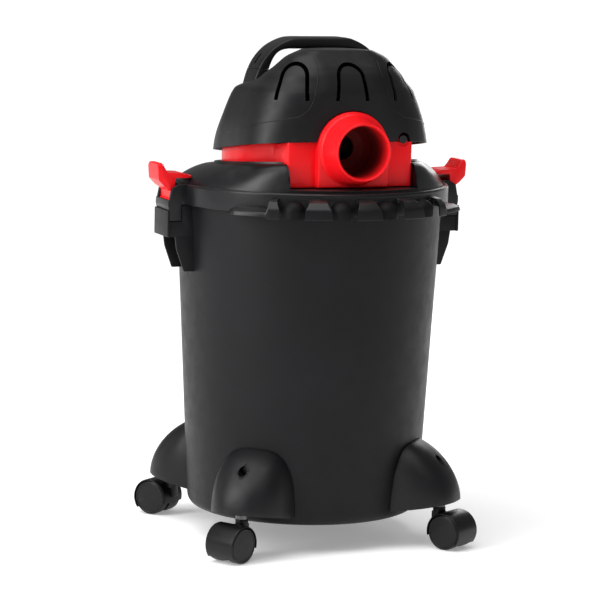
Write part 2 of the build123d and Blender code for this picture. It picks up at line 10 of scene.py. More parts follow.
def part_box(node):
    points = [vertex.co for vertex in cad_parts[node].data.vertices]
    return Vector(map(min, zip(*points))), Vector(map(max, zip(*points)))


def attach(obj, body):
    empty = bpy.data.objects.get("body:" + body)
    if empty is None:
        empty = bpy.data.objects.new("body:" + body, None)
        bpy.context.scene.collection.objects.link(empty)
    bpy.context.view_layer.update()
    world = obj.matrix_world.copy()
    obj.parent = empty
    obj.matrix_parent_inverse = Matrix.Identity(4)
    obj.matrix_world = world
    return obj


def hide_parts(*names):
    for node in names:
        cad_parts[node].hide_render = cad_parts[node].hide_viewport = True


# Wet/dry shop vacuum: the looks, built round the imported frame.
# Lengths are millimetres until new_piece() writes them in metres.

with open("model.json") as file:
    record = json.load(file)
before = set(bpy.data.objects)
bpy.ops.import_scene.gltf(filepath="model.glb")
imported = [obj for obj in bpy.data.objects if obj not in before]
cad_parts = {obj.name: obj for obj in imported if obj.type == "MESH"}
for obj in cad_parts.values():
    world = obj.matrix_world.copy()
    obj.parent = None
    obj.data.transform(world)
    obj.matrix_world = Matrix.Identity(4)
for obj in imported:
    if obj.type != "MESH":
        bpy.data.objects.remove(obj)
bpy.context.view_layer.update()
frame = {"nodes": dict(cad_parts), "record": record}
MM = 0.001


def node_box(name):
    """A CAD node's lowest and highest corners in millimetres."""
    low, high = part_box(name)
    return np.array(low) / MM, np.array(high) / MM


# ------------------------------------------------------------------ driving sizes, from the frame
DRUM_LOW, DRUM_HIGH = node_box("drum")
LID_HIGH = node_box("lid")[1]

DRUM_BASE_Z = DRUM_LOW[2]
DRUM_RIM_Z = DRUM_HIGH[2]
DRUM_RIM_R = DRUM_HIGH[1]
DRUM_BASE_R = DRUM_RIM_R - 20.8
DRUM_WALL = 3.0
INLET_Z = 352.0
INLET_HOLE_R = 36.0

SKIRT_R = LID_HIGH[1]
SKIRT_Z = 430.0
GROOVE_R = 170.5
GROOVE_Z = 457.0
LID_WALL = 3.0
PLATEAU_Z = LID_HIGH[2]
PLATEAU_R = 130.0
PLATEAU_Y = -20.0
HEAD_Y = -14.0

PORT_Z = 507.0
PORT_HOLE_R = 36.0
BOX_FRONT_Y = -133.0
BOX_HALF_X = 83.0
BOX_LOW_Z = 461.0
COLLAR_R = 118.0
COLLAR_WALL = 3.0
PAD_R = 47.0
PAD_Y = -144.0
SCREW_X = 70.0
SCREW_Z = 519.0
SCREW_WELL_R = 9.0

VENT_ANGLES = (-35.0, 0.0, 35.0)
VENT_HALF_WIDTH = 19.0
VENT_SLIT = 5.0
VENT_SPLAY = 3.4
VENT_FOOT_Z = 567.0
VENT_ARCH_Z = 594.5
COVER_WALL = 3.0
HANDLE_Y = -10.0
HANDLE_HALF = 21.0
HANDLE_SPLIT_Z = 600.0

LUG_X = DRUM_HIGH[0]
LUG_HALF = 25.0
LATCH_HALF = 19.5
LATCH_EDGE_R = 6.0
PIN_X = 191.75
PIN_Z = 434.0
PIN_R = 4.6

SOCKET_ANGLES = (-27.75, -9.25, 9.25, 27.75)
SOCKET_R = 20.0
SOCKET_CENTRE_R = 187.0
HOLDER_EDGE = 54.5
HOLDER_ROOT_R = 178.2

FOOT_R = 140.0
FOOT_HALF = 51.0
FOOT_REACH = 74.0
FOOT_TOP_Z = 136.0
FOOT_LOW_Z = node_box("foot_front_left")[0][2] + 3.0
FOOT_WALL = 3.0
FOOT_SCREW_Z = 110.0
STEM_R = 190.0
AXLE_X = 20.0
AXLE_Z = 22.5
WHEEL_Y = 13.75
FEET = {"front_right": -45.0, "back_right": 45.0, "back_left": 135.0, "front_left": -135.0}
TRAILS = {"front_right": -58.7, "back_right": 52.0, "back_left": 128.0, "front_left": -149.0}


# ------------------------------------------------------------------ mesh helpers
def new_piece(name, verts, faces):
    """An object from millimetre vertices, smooth shaded except across sharp edges."""
    mesh = bpy.data.meshes.new(name)
    mesh.from_pydata([tuple(float(c) * MM for c in v) for v in verts], [], faces)
    mesh.validate()
    obj = bpy.data.objects.new(name, mesh)
    bpy.context.scene.collection.objects.link(obj)
    clean_mesh(obj)
    shade(obj)
    return obj


def clean_mesh(obj):
    """Welds doubled points and turns every face outwards."""
    bm = bmesh.new()
    bm.from_mesh(obj.data)
    bmesh.ops.remove_doubles(bm, verts=bm.verts, dist=1e-6)
    bmesh.ops.recalc_face_normals(bm, faces=bm.faces)
    bm.to_mesh(obj.data)
    bm.free()


def shade(obj, angle=38.0):
    """Smooth shading that stops at edges sharper than the angle."""
    obj.data.shade_smooth()
    obj.data.set_sharp_from_angle(angle=math.radians(angle))


def grid_faces(rows, cols, close_cols=True, close_rows=False):
    """Four-sided faces between neighbouring points of a grid, as point numbers."""
    faces = []
    for i in range(rows if close_rows else rows - 1):
        for j in range(cols if close_cols else cols - 1):
            a = i * cols + j
            b = i * cols + (j + 1) % cols
            c = ((i + 1) % rows) * cols + (j + 1) % cols
            d = ((i + 1) % rows) * cols + j
            faces.append((a, b, c, d))
    return faces


def grid_piece(name, rows, close_cols=True, close_rows=False, caps=()):
    """A surface from rows of points.  caps names row numbers that get an end face."""
    rows = [np.asarray(row, dtype=float) for row in rows]
    cols = len(rows[0])
    verts = np.concatenate(rows)
    faces = grid_faces(len(rows), cols, close_cols, close_rows)
    for row in caps:
        start = (row % len(rows)) * cols
        faces.append(tuple(range(start, start + cols)))
    return new_piece(name, verts, faces)


def circle(count):
    """Evenly spaced angles round a full turn."""
    return np.linspace(0, 2 * math.pi, count, endpoint=False)


def rounded_path(corners, steps=5, closed=False):
    """Points along straight runs whose corners (x, y, radius) are rounded off."""
    out = []
    count = len(corners)
    for i, (x, y, radius) in enumerate(corners):
        here = np.array([x, y], dtype=float)
        if radius <= 0 or (not closed and i in (0, count - 1)):
            out.append(here)
            continue
        before = np.array(corners[i - 1][:2], dtype=float) - here
        after = np.array(corners[(i + 1) % count][:2], dtype=float) - here
        len_b, len_a = np.linalg.norm(before), np.linalg.norm(after)
        before, after = before / len_b, after / len_a
        turn = math.acos(max(-1.0, min(1.0, float(before @ after))))
        cut = min(radius / math.tan(turn / 2), 0.49 * len_b, 0.49 * len_a)
        start, end = here + before * cut, here + after * cut
        for step in range(steps + 1):
            t = step / steps
            out.append((1 - t) ** 2 * start + 2 * t * (1 - t) * here + t ** 2 * end)
    return out


def lathe(name, profile, count=144, centre=(0.0, 0.0), closed=True):
    """Turns a profile of (radius, height) about an upright axis."""
    turns = [2 * math.pi * step / count for step in range(count)]
    rows = [[(centre[0] + radius * math.cos(a), centre[1] + radius * math.sin(a), z) for a in turns]
            for radius, z in profile]
    return grid_piece(name, rows, close_rows=closed)


def prism(name, outline, low, high, plane="xz"):
    """A closed outline pushed along the axis that its plane lacks."""
    place = {"xz": lambda a, b, c: (a, c, b), "xy": lambda a, b, c: (a, b, c),
             "yz": lambda a, b, c: (c, a, b)}[plane]
    rows = [[place(a, b, level) for a, b in outline] for level in (low, high)]
    return grid_piece(name, rows, caps=(0, 1))


def box(name, low, high):
    """A block between two opposite corners."""
    outline = [(low[0], low[2]), (high[0], low[2]), (high[0], high[2]), (low[0], high[2])]
    return prism(name, outline, low[1], high[1])


def rod(name, start, end, radius, count=48):
    """A round bar between two points."""
    start, end = Vector(start), Vector(end)
    along = (end - start).normalized()
    side = along.orthogonal().normalized()
    other = along.cross(side)
    rows = []
    for centre in (start, end):
        rows.append([centre + radius * (math.cos(a) * side + math.sin(a) * other)
                     for a in circle(count)])
    return grid_piece(name, rows, caps=(0, 1))


def apply_modifiers(obj):
    """Bakes the object's modifiers into its mesh."""
    graph = bpy.context.evaluated_depsgraph_get()
    mesh = bpy.data.meshes.new_from_object(obj.evaluated_get(graph))
    old = obj.data
    obj.modifiers.clear()
    obj.data = mesh
    bpy.data.meshes.remove(old)


def boolean(obj, cutter, operation="DIFFERENCE"):
    """Cuts an object with another one, which is used up."""
    mod = obj.modifiers.new("cut", "BOOLEAN")
    mod.operation = operation
    mod.object = cutter
    mod.solver = "EXACT"
    apply_modifiers(obj)
    bpy.data.objects.remove(cutter)
    return obj


def bevel(obj, width, segments=3, angle=35.0):
    """Rounds the object's sharp edges."""
    mod = obj.modifiers.new("bevel", "BEVEL")
    mod.width = width * MM
    mod.segments = segments
    mod.limit_method = "ANGLE"
    mod.angle_limit = math.radians(angle)
    mod.harden_normals = False
    mod.miter_outer = "MITER_ARC"
    apply_modifiers(obj)
    shade(obj)
    return obj


def thicken(obj, thickness):
    """Gives a surface a wall on its inner side."""
    mod = obj.modifiers.new("wall", "SOLIDIFY")
    mod.thickness = thickness * MM
    mod.offset = -1
    mod.use_even_offset = True
    apply_modifiers(obj)
    return obj


def join(name, parts):
    """Joins pieces into one new object under a new name; the pieces are used up."""
    bm = bmesh.new()
    for part in parts:
        part.data.transform(part.matrix_world)
        bm.from_mesh(part.data)
    mesh = bpy.data.meshes.new(name)
    bm.to_mesh(mesh)
    bm.free()
    for part in parts:
        bpy.data.objects.remove(part)
    obj = bpy.data.objects.new(name, mesh)
    bpy.context.scene.collection.objects.link(obj)
    shade(obj)
    return obj


def transform(obj, matrix):
    """Moves mesh points, so that the object itself stays at the origin."""
    obj.data.transform(matrix)
    if matrix.determinant() < 0:
        obj.data.flip_normals()
    return obj


def turn_z(obj, degrees, centre=(0.0, 0.0)):
    """Turns mesh points about an upright axis."""
    shift = Matrix.Translation((centre[0] * MM, centre[1] * MM, 0))
    return transform(obj, shift @ Matrix.Rotation(math.radians(degrees), 4, "Z") @ shift.inverted())


def mirrored_x(obj):
    return transform(obj, Matrix.Scale(-1, 4, (1, 0, 0)))


def both_sides(make_parts):
    """The parts that a function makes, and the same parts mirrored to the other side."""
    return make_parts() + [mirrored_x(part) for part in make_parts()]


def smooth_steps(values, count):
    """Catmull-Rom interpolation through rows of numbers, as evenly spaced steps."""
    values = np.asarray(values, dtype=float)
    padded = np.vstack([2 * values[0] - values[1], values, 2 * values[-1] - values[-2]])
    out = []
    for t in np.linspace(0, len(values) - 1 - 1e-9, count):
        i = int(t)
        f = t - i
        p0, p1, p2, p3 = padded[i:i + 4]
        out.append(0.5 * (2 * p1 + (p2 - p0) * f + (2 * p0 - 5 * p1 + 4 * p2 - p3) * f ** 2
                          + (3 * p1 - p0 - 3 * p2 + p3) * f ** 3))
    return np.array(out)


def drum_radius(z):
    """Radius of the drum's tapering outer wall at a height."""
    share = (z - DRUM_BASE_Z) / (DRUM_RIM_Z - DRUM_BASE_Z)
    return DRUM_BASE_R + (DRUM_RIM_R - DRUM_BASE_R) * share


def hem_z(y):
    """Height of the motor cover's slanted lower edge."""
    return 517.0 - 0.13 * (y + 138.0)


def plateau_z(y):
    """Height of the lid's top, which rises towards the port."""
    return PLATEAU_Z - 0.3 - 0.073 * y


def finish_piece(obj, node, body, material):
    """Gives the piece its material and body, and hides the CAD node that it stands for; node is None if the
    piece is extra.
    """
    obj.data.materials.clear()
    obj.data.materials.append(material)
    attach(obj, body)
    if node is not None:
        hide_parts(node)


# ------------------------------------------------------------------ materials
class Nodes:
    """Short names for building a node material."""

    def __init__(self, name):
        self.material = bpy.data.materials.new(name)
        self.material.use_nodes = True
        self.tree = self.material.node_tree
        self.shader = self.tree.nodes["Principled BSDF"]
        self.coords = self.add("ShaderNodeTexCoord").outputs["Object"]

    def add(self, kind, **settings):
        """A new node with its settings filled in."""
        node = self.tree.nodes.new(kind)
        for key, value in settings.items():
            setattr(node, key, value)
        return node

    def link(self, source, target):
        self.tree.links.new(source, target)

    def feed(self, name, value):
        """Links a socket to one of the shader's own, or sets it to a constant."""
        target = self.shader.inputs[name]
        if isinstance(value, bpy.types.NodeSocket):
            self.link(value, target)
        else:
            target.default_value = value

    def noise(self, scale, detail=3.0, rough=0.55, stretch=(1, 1, 1)):
        """Noise in the piece's own space; scale is in cycles per metre."""
        place = self.add("ShaderNodeMapping")
        place.inputs["Scale"].default_value = stretch
        self.link(self.coords, place.inputs["Vector"])
        noise = self.add("ShaderNodeTexNoise")
        noise.inputs["Scale"].default_value = scale
        noise.inputs["Detail"].default_value = detail
        noise.inputs["Roughness"].default_value = rough
        self.link(place.outputs["Vector"], noise.inputs["Vector"])
        return noise.outputs["Fac"]

    def span(self, source, low, high, out_low, out_high):
        """A value stretched from one range to another."""
        node = self.add("ShaderNodeMapRange")
        node.inputs["From Min"].default_value = low
        node.inputs["From Max"].default_value = high
        node.inputs["To Min"].default_value = out_low
        node.inputs["To Max"].default_value = out_high
        self.link(source, node.inputs["Value"])
        return node.outputs["Result"]

    def mix(self, share, colour_a, colour_b):
        """Two colours mixed; either may be a socket."""
        node = self.add("ShaderNodeMix", data_type="RGBA")
        for socket, value in ((node.inputs[6], colour_a), (node.inputs[7], colour_b)):
            if isinstance(value, tuple):
                socket.default_value = (*value, 1.0)
            else:
                self.link(value, socket)
        self.link(share, node.inputs[0])
        return node.outputs[2]

    def edges(self):
        """How much a point lies on a convex edge, from 0 to 1."""
        geometry = self.add("ShaderNodeNewGeometry")
        return self.span(geometry.outputs["Pointiness"], 0.52, 0.60, 0.0, 1.0)

    def bump(self, height, strength, distance, below=None):
        """A bumped normal, on top of another one if given."""
        node = self.add("ShaderNodeBump")
        node.inputs["Strength"].default_value = strength
        node.inputs["Distance"].default_value = distance
        self.link(height, node.inputs["Height"])
        if below is not None:
            self.link(below, node.inputs["Normal"])
        return node.outputs["Normal"]


def plastic(name, colour, roughness, grain=2600.0, grain_depth=0.12, mottle=0.22, edge_wear_and_highlight=0.35,
            specular=0.5, dust=0.0):
    """Moulded plastic: fine spark grain, slow colour drift, paler edges that are partly worn and partly a
    painted edge highlight, a little dust.
    """
    n = Nodes(name)
    slow = n.noise(9.0, 4.0)
    patch = n.noise(60.0, 5.0, 0.6)
    fine = n.noise(grain, 2.0, 0.6)
    dark = tuple(c * (1 - mottle) for c in colour)
    light = tuple(min(1.0, c * (1 + mottle)) for c in colour)
    base = n.mix(n.span(slow, 0.3, 0.7, 0.0, 1.0), dark, light)
    # Paler convex edges: partly worn plastic, partly a painted highlight where light catches the rounded
    # edges.
    edge_wear_and_highlight_colour = tuple(min(1.0, c * 1.6 + 0.008) for c in colour)
    edge_wear_and_highlight_mask = n.add("ShaderNodeMath", operation="MULTIPLY")
    n.link(n.edges(), edge_wear_and_highlight_mask.inputs[0])
    n.link(n.span(patch, 0.42, 0.62, 0.0, edge_wear_and_highlight), edge_wear_and_highlight_mask.inputs[1])
    base = n.mix(edge_wear_and_highlight_mask.outputs[0], base, edge_wear_and_highlight_colour)
    if dust > 0:
        geometry = n.add("ShaderNodeNewGeometry")
        split = n.add("ShaderNodeSeparateXYZ")
        n.link(geometry.outputs["Normal"], split.inputs[0])
        up = n.add("ShaderNodeMath", operation="MULTIPLY")
        n.link(n.span(split.outputs["Z"], 0.55, 1.0, 0.0, dust), up.inputs[0])
        n.link(n.span(patch, 0.35, 0.65, 0.2, 1.0), up.inputs[1])
        base = n.mix(up.outputs[0], base, (0.34, 0.33, 0.31))
    n.feed("Base Color", base)
    n.feed("Roughness", n.span(patch, 0.3, 0.7, roughness - 0.05, roughness + 0.06))
    n.feed("Specular IOR Level", specular)
    n.feed("Normal", n.bump(fine, grain_depth, 0.0002, n.bump(slow, 0.04, 0.002)))
    return n.material


def duct_red_painted_shade(name):
    """The port's inside: the red of the mouth turns matt and darker deeper in the duct; the darker red is
    painted shade.
    """
    n = Nodes(name)
    split = n.add("ShaderNodeSeparateXYZ")
    n.link(n.coords, split.inputs[0])
    duct_noise = n.noise(120.0, 4.0, 0.6, (1, 0.4, 1))
    place = n.add("ShaderNodeMath", operation="MULTIPLY_ADD")
    n.link(duct_noise, place.inputs[0])
    place.inputs[1].default_value = 0.006
    n.link(split.outputs["Y"], place.inputs[2])
    # Painted shade: the red turns dark deeper in the duct, along a noisy edge.
    deep = n.span(place.outputs[0], -0.168, -0.138, 0.0, 1.0)
    n.feed("Base Color", n.mix(deep, (0.60, 0.007, 0.010), (0.13, 0.008, 0.008)))
    n.feed("Roughness", n.span(duct_noise, 0.3, 0.7, 0.50, 0.66))
    n.feed("Specular IOR Level", 0.1)
    n.feed("Normal", n.bump(n.noise(1500.0, 2.0), 0.1, 0.0002))
    return n.material


def metal(name, colour, roughness, brushed=(1, 1, 1), scale=900.0, depth=0.15):
    """Bare metal with turning or brushing marks and a slow change of shine."""
    n = Nodes(name)
    marks = n.noise(scale, 3.0, 0.6, brushed)
    slow = n.noise(40.0, 3.0)
    dull = tuple(c * 0.72 for c in colour)
    n.feed("Base Color", n.mix(n.span(slow, 0.35, 0.65, 0.0, 1.0), dull, colour))
    n.feed("Roughness", n.span(marks, 0.3, 0.7, roughness * 0.7, roughness * 1.4))
    n.feed("Metallic", 1.0)
    n.feed("Normal", n.bump(marks, depth, 0.0002))
    return n.material


def paper(name):
    """Filter paper: off-white fibres with a little dirt."""
    n = Nodes(name)
    fibre = n.noise(1500.0, 6.0, 0.7, (1, 1, 0.25))
    dirt = n.noise(35.0, 5.0, 0.65)
    base = n.mix(n.span(fibre, 0.3, 0.7, 0.0, 1.0), (0.62, 0.59, 0.50), (0.82, 0.79, 0.70))
    base = n.mix(n.span(dirt, 0.5, 0.75, 0.0, 0.5), base, (0.34, 0.30, 0.24))
    n.feed("Base Color", base)
    n.feed("Roughness", 0.9)
    n.feed("Normal", n.bump(fibre, 0.4, 0.0006))
    return n.material


def laminations(name):
    """Stacked varnished sheets: thin dark lines across the height."""
    n = Nodes(name)
    wave = n.add("ShaderNodeTexWave", wave_type="BANDS", bands_direction="Z")
    wave.inputs["Scale"].default_value = 320.0
    wave.inputs["Distortion"].default_value = 0.4
    n.link(n.coords, wave.inputs["Vector"])
    n.feed("Base Color", n.mix(wave.outputs["Fac"], (0.05, 0.05, 0.06), (0.22, 0.21, 0.20)))
    n.feed("Metallic", 0.6)
    n.feed("Roughness", 0.45)
    n.feed("Normal", n.bump(wave.outputs["Fac"], 0.3, 0.0004))
    return n.material


COVER_BLACK = plastic("cover_black", (0.0056, 0.0057, 0.0064), 0.40, dust=0.04, specular=0.24)
LID_BLACK = plastic("lid_black", (0.0056, 0.0057, 0.0066), 0.33, dust=0.04, specular=0.26)
DRUM_BLACK = plastic("drum_black", (0.0052, 0.0053, 0.0062), 0.44, grain=1900.0, grain_depth=0.08,
                     specular=0.18)
FOOT_BLACK = plastic("foot_black", (0.0055, 0.0056, 0.0064), 0.42, edge_wear_and_highlight=0.5, specular=0.24)
WHEEL_BLACK = plastic("wheel_black", (0.005, 0.005, 0.0055), 0.33, edge_wear_and_highlight=0.6, specular=0.24)
RED = plastic("red_gloss", (0.80, 0.007, 0.011), 0.32, grain_depth=0.05, mottle=0.05, edge_wear_and_highlight=0.1,
              specular=0.2)
# Red of the port's duct, with painted shade deeper in.
DUCT_RED_PAINTED_SHADE = duct_red_painted_shade("duct_red_painted_shade")
# Darker, duller black for the posts in the sockets: painted shade.
SOCKET_PAINTED_SHADE = plastic("socket_painted_shade", (0.0035, 0.0035, 0.0042), 0.55, edge_wear_and_highlight=0.2, specular=0.12)
INNER_BLACK = plastic("inner_black", (0.03, 0.03, 0.032), 0.5, grain=1200.0)
FLOAT_WHITE = plastic("float_white", (0.78, 0.77, 0.70), 0.35, mottle=0.06, edge_wear_and_highlight=0.1)
RUBBER = plastic("seal_rubber", (0.02, 0.02, 0.02), 0.75, grain=1400.0, grain_depth=0.25)
CARBON = plastic("carbon", (0.02, 0.02, 0.022), 0.6, grain=3500.0, grain_depth=0.4)
CHROME = metal("chrome", (0.16, 0.16, 0.165), 0.34, scale=1500.0, depth=0.03)
STEEL = metal("turned_steel", (0.56, 0.56, 0.57), 0.30, (1, 1, 8))
ALUMINIUM = metal("cast_aluminium", (0.70, 0.70, 0.72), 0.42, scale=500.0, depth=0.3)
DARK_STEEL = metal("dark_steel", (0.045, 0.045, 0.048), 0.38, (1, 1, 6))
IRON = laminations("motor_iron")
PAPER = paper("filter_paper")


# ------------------------------------------------------------------ drum
def make_drum():
    """Tapering drum with a raised bottom, the inlet's hole and a lug for each latch."""
    inner_z = DRUM_BASE_Z + DRUM_WALL
    profile = rounded_path([(0, inner_z, 0), (104, inner_z, 2), (110, DRUM_BASE_Z, 3),
                            (DRUM_BASE_R, DRUM_BASE_Z, 15), (DRUM_RIM_R, DRUM_RIM_Z, 1),
                            (DRUM_RIM_R - DRUM_WALL, DRUM_RIM_Z, 1),
                            (DRUM_BASE_R - DRUM_WALL, inner_z + DRUM_WALL, 12),
                            (0, inner_z + DRUM_WALL, 0)], steps=8)
    body = lathe("drum_wall", profile, 192, closed=False)
    boolean(body, rod("inlet_hole", (0, 120, INLET_Z), (0, 230, INLET_Z), INLET_HOLE_R, 64))
    drum = join("drum_shell", [body] + both_sides(drum_lug))
    finish_piece(drum, "drum", "tank", DRUM_BLACK)


def drum_lug():
    """The catch box of one latch with its two tapering legs and an outer skin."""
    cheek = rounded_path([(163, 429.5, 0), (181, 429.5, 1.5), (181, 409.5, 1), (LUG_X, 409.5, 1.5),
                          (LUG_X, 390, 2), (163, 390, 0)])
    leg = rounded_path([(160, 392, 0), (189.5, 392, 0), (187, 374, 8), (177, 346, 2), (155, 346, 0)])
    parts = []
    for low in (-LUG_HALF, LUG_HALF - 4):
        parts.append(bevel(prism("cheek", cheek, low, low + 4), 0.9))
        parts.append(bevel(prism("leg", leg, low + 0.3, low + 3.7), 0.9))
    inner = LUG_HALF - 1
    parts.append(bevel(box("lug_wall", (LUG_X - 3, -inner, 390), (LUG_X, inner, 409.5)), 0.8))
    skin = rounded_path([(LUG_X - 1, 389.6, 0.8), (LUG_X + 2.4, 389.6, 2), (LUG_X + 2.4, 423.5, 1.2),
                         (LUG_X + 0.2, 423.5, 0.6), (LUG_X + 0.2, 409.4, 0),
                         (LUG_X - 1, 409.4, 0)], closed=True)
    parts.append(bevel(prism("lug_skin", skin, -LUG_HALF - 0.8, LUG_HALF + 0.8), 0.7))
    parts.append(bevel(box("lug_floor", (163, -inner, 390), (LUG_X - 1, inner, 393)), 0.8))
    return parts


# ------------------------------------------------------------------ lid
LID_TURNS = circle(240)


def lid_point(share, angle):
    """A point of the lid's top: share runs from the groove (0) to the plateau (1 and over)."""
    # the angle from the port's direction: 0 faces the port, pi the back
    away = abs((angle + math.pi / 2 + math.pi) % (2 * math.pi) - math.pi)
    near_port = 1 / (1 + math.exp((away - 0.82) / 0.07))
    power = 1.95 + 1.8 * near_port
    slope = min(share, 1.0)
    radius = GROOVE_R + (PLATEAU_R - GROOVE_R) * share
    x = radius * math.cos(angle)
    y = PLATEAU_Y * share + radius * math.sin(angle)
    z = plateau_z(y)
    if share <= 1.0:
        rise = 1 - (1 - slope) ** power
        z = GROOVE_Z + (z - 2.0 - GROOVE_Z) * rise
    # a shallow hollow on each side of the port's box
    swale = math.exp(-((away - 1.00) / 0.17) ** 2) * math.sin(math.pi * slope) ** 2
    return (x, y, z - 3.2 * swale)


def lid_rows():
    """Rows of the lid's top from the groove to the plateau."""
    shares = np.concatenate([np.linspace(0, 1, 22), [1.02, 1.05]])
    return [[lid_point(share, angle) for angle in LID_TURNS] for share in shares]


def ring_row(radius, z, centre_y=0.0):
    return [(radius * math.cos(a), centre_y + radius * math.sin(a), z) for a in LID_TURNS]


def lowered(row, drop):
    return [(x, y, z - drop) for x, y, z in row]


def make_lid():
    """Lid with its skirt, the pocket behind the port's box and a lug for each latch."""
    skirt = rounded_path([(174.5, 446, 0), (174.5, SKIRT_Z, 0.8), (SKIRT_R, SKIRT_Z, 1.0),
                          (SKIRT_R, 454.5, 3.0), (174.2, 456.4, 1.2), (172.2, 453.8, 1.0),
                          (170.8, 454.6, 0)], steps=5)
    top = lid_rows()
    opening = [(x, y, plateau_z(y)) for x, y, _ in ring_row(112, PLATEAU_Z, HEAD_Y)]
    rows = [ring_row(r, z) for r, z in skirt] + top
    rows += [opening, lowered(opening, LID_WALL)]
    rows += [lowered(row, LID_WALL) for row in top[-3::-1]]
    rows.append(ring_row(166, 447))
    lid = grid_piece("lid_wall", rows, close_rows=True)
    solid = grid_piece("lid_block", [ring_row(GROOVE_R - 0.2, 450)] + top[:-2], caps=(0, -1))
    pocket = box("pocket", (-87, -175, 456.8), (87, -96, 500))
    boolean(pocket, notch_cutter(459.5))
    boolean(pocket, solid, "INTERSECT")
    boolean(lid, notch_cutter(458.6))
    lid = join("lid_shell", [lid, pocket] + both_sides(lid_lug))
    finish_piece(lid, "lid", "head", LID_BLACK)


def notch_cutter(low):
    """Room in the lid for the collar's box."""
    return box("notch", (-84, -172, low), (84, -97, 530))


def lid_lug():
    """The lid's half of a latch housing: two cheeks round the pin and a low outer wall."""
    cheek = rounded_path([(174, 430.4, 0), (181.5, 430.4, 1), (181.5, 410.2, 1), (LUG_X, 410.2, 1.5),
                          (LUG_X, 436, 4), (194.5, 451, 5), (186, 455.5, 4), (174, 456, 0)])
    parts = [bevel(prism("cheek", cheek, low, low + 5.3), 1.0) for low in (-LUG_HALF - 0.8, LUG_HALF - 4.5)]
    inner = LUG_HALF - 1
    parts.append(bevel(box("wall", (LUG_X - 3, -inner, 410.2), (LUG_X, inner, 426)), 0.8))
    brow = rounded_path([(LUG_X - 0.7, 424.2, 0), (LUG_X + 0.6, 424.2, 0.5), (LUG_X + 1.6, 429, 2),
                         (LUG_X + 1.2, 436.4, 0.8), (LUG_X - 0.7, 436.4, 0.5)], closed=True)
    parts.append(bevel(prism("brow", brow, -LUG_HALF + 0.4, LUG_HALF - 0.4), 0.5))
    return parts


# ------------------------------------------------------------------ tool holder
def holder_ring():
    """Flange turned down round the port side, running out flat and thin at its two ends."""
    columns = 240
    profile = rounded_path([(HOLDER_ROOT_R, 428.5, 0), (180, 428.5, 0.6), (180, 446.6, 2),
                            (188.5, 444.4, 8), (196.0, 438, 6), (198.2, 425.8, 0.8), (200.9, 426.2, 0.8),
                            (199.4, 438.5, 8), (191.5, 447.0, 8), (HOLDER_ROOT_R, 450.3, 0)], steps=5)
    angles = np.radians(np.linspace(-90 - HOLDER_EDGE, -90 + HOLDER_EDGE, columns))
    rows = []
    for radius, z in profile:
        row = []
        for angle in angles:
            left = HOLDER_EDGE - abs(math.degrees(angle) + 90)
            taper = math.sqrt(min(1.0, left / 5.0))
            r = HOLDER_ROOT_R + (radius - HOLDER_ROOT_R) * (0.05 + 0.95 * taper)
            strip = min(1.0, max(0.0, (17.6 - left) / 0.4))
            low_z = 428.5 + (z - 425.8) * 0.40 * (0.35 + 0.65 * taper)
            row.append((r * math.cos(angle), r * math.sin(angle), z + (low_z - z) * strip))
        rows.append(row)
    count = len(rows)
    verts = np.concatenate([np.array(r) for r in rows])
    faces = grid_faces(count, columns, close_cols=False, close_rows=True)
    for j in (0, columns - 1):
        faces.append(tuple(i * columns + j for i in range(count)))
    return new_piece("tool_holder_ring", verts, faces)


def make_tool_holder():
    """The flange, cut by four C-shaped sockets."""
    holder = holder_ring()
    for angle in SOCKET_ANGLES:
        a = math.radians(angle)
        centre = (SOCKET_CENTRE_R * math.sin(a), -SOCKET_CENTRE_R * math.cos(a))
        cutter = rod("socket", (*centre, 400), (*centre, 470), SOCKET_R, 64)
        boolean(cutter, rod("keep", (0, 0, 395), (0, 0, 475), 180.0, 192))
        boolean(holder, cutter)
    bevel(holder, 0.6, 2, angle=50)
    finish_piece(holder, "tool_holder", "head", LID_BLACK)


def make_socket_shade_posts():
    """Round-topped posts inside each socket, standing against the lid's skirt, in a darker black: a dark
    piece put where the sockets are in shade, so painted shade.
    """
    radius, spring_z, rise = 14.5, 433.5, 14.0
    dome = [(radius * math.cos(a), spring_z + rise * math.sin(a)) for a in np.linspace(0, math.pi / 2, 14)]
    profile = [(radius, 426.5)] + dome[:-1] + [(0.0, spring_z + rise)]
    posts = []
    for angle in SOCKET_ANGLES:
        post = lathe("post", profile, 64, (0.0, -183.0))
        boolean(post, rod("post_back", (0, 0, 395), (0, 0, 475), 178.0, 192))
        posts.append(turn_z(post, angle))
    finish_piece(join("socket_shade_posts", posts), None, "head", SOCKET_PAINTED_SHADE)


# ------------------------------------------------------------------ red collar
def collar_outline(inset):
    """Ring, concave blend and box in one outline, seen from above."""
    radius = COLLAR_R - inset
    half, front = BOX_HALF_X - inset, BOX_FRONT_Y + inset
    corners = []
    for a in np.linspace(-31.0, 211.0, 96):
        a = math.radians(a)
        corners.append((radius * math.cos(a), HEAD_Y + radius * math.sin(a), 0))
    left = [(-half - 1.5 - inset * 0.3, -97.0 + inset, 26), (-half, front, 3.5)]
    right = [(-x, y, r) for x, y, r in reversed(left)]
    return rounded_path(corners + left + right, steps=6, closed=True)


def collar_row(outline, high):
    """The outline at the collar's upper or lower edge."""
    row = []
    for x, y in outline:
        in_box = abs(x) < BOX_HALF_X + 0.6 and y < -98
        low = BOX_LOW_Z if in_box else plateau_z(y) - 1.5
        top = hem_z(y) + (0.0 if y < -95 else 6.0)
        row.append((x, y, top if high else low))
    return row


def collar_wall():
    outer, inner = collar_outline(0.0), collar_outline(COLLAR_WALL)
    rows = [collar_row(outer, False), collar_row(outer, True), collar_row(inner, True),
            collar_row(inner, False)]
    return grid_piece("collar_wall", rows, close_rows=True)


